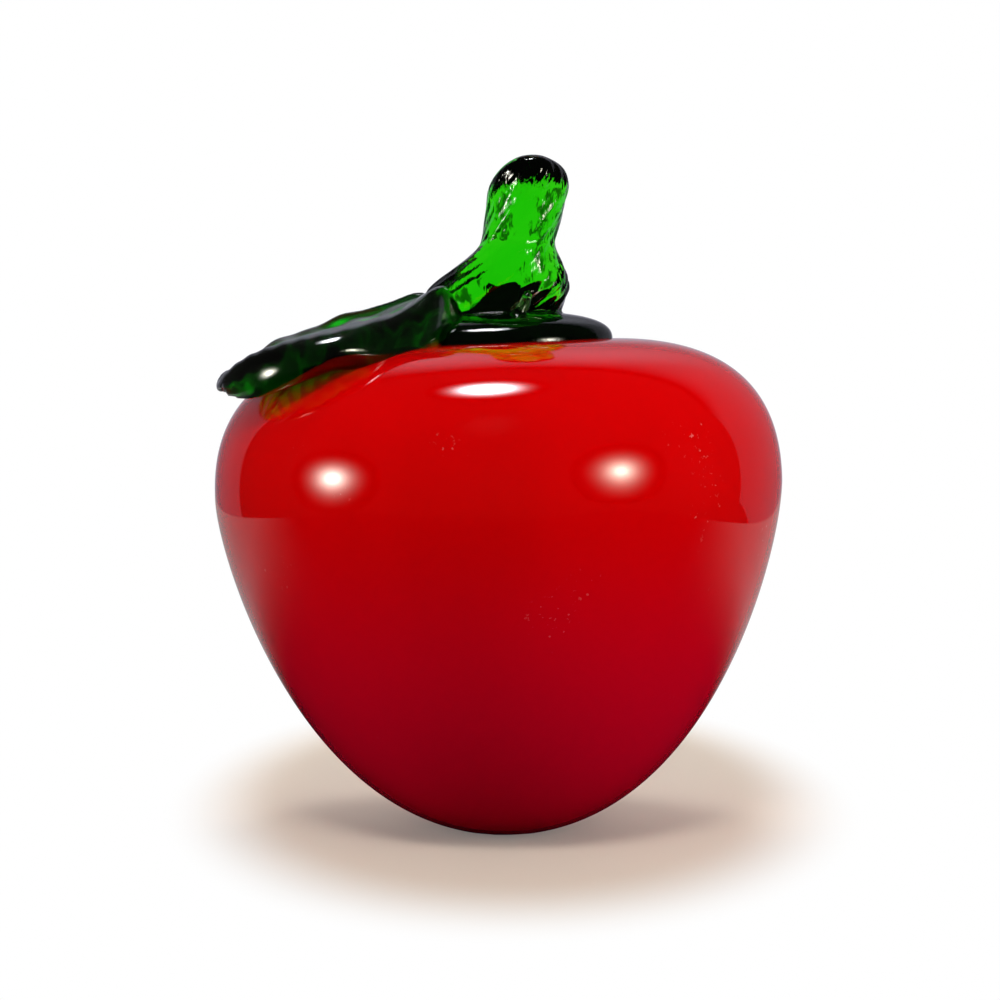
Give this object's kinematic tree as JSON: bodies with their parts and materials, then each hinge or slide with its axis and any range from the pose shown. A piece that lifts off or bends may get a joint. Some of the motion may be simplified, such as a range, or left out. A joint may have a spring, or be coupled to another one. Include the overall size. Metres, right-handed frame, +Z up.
{
  "type": "art glass apple",
  "caption": "Hand-blown glass apple with a glossy red hollow body, a twisted green glass stem on a spread pad and a thick veined green glass leaf.",
  "frame": {"origin": "where the apple's own axis meets the floor, on the ground foot", "axes": "+Z up from the floor; the leaf points to -X and the stem and pad sit on the crown; the front seen in the picture faces -Y"},
  "size_m": [0.1, 0.1, 0.1188],
  "materials": {
    "red_glass": "fire-polished opaque red glass",
    "green_glass": "fire-polished transparent green glass"
  },
  "bodies": {
    "root": {"apple_body": "red_glass", "stem_pad": "green_glass", "stem": "green_glass", "leaf": "green_glass"}
  },
  "joints": []
}
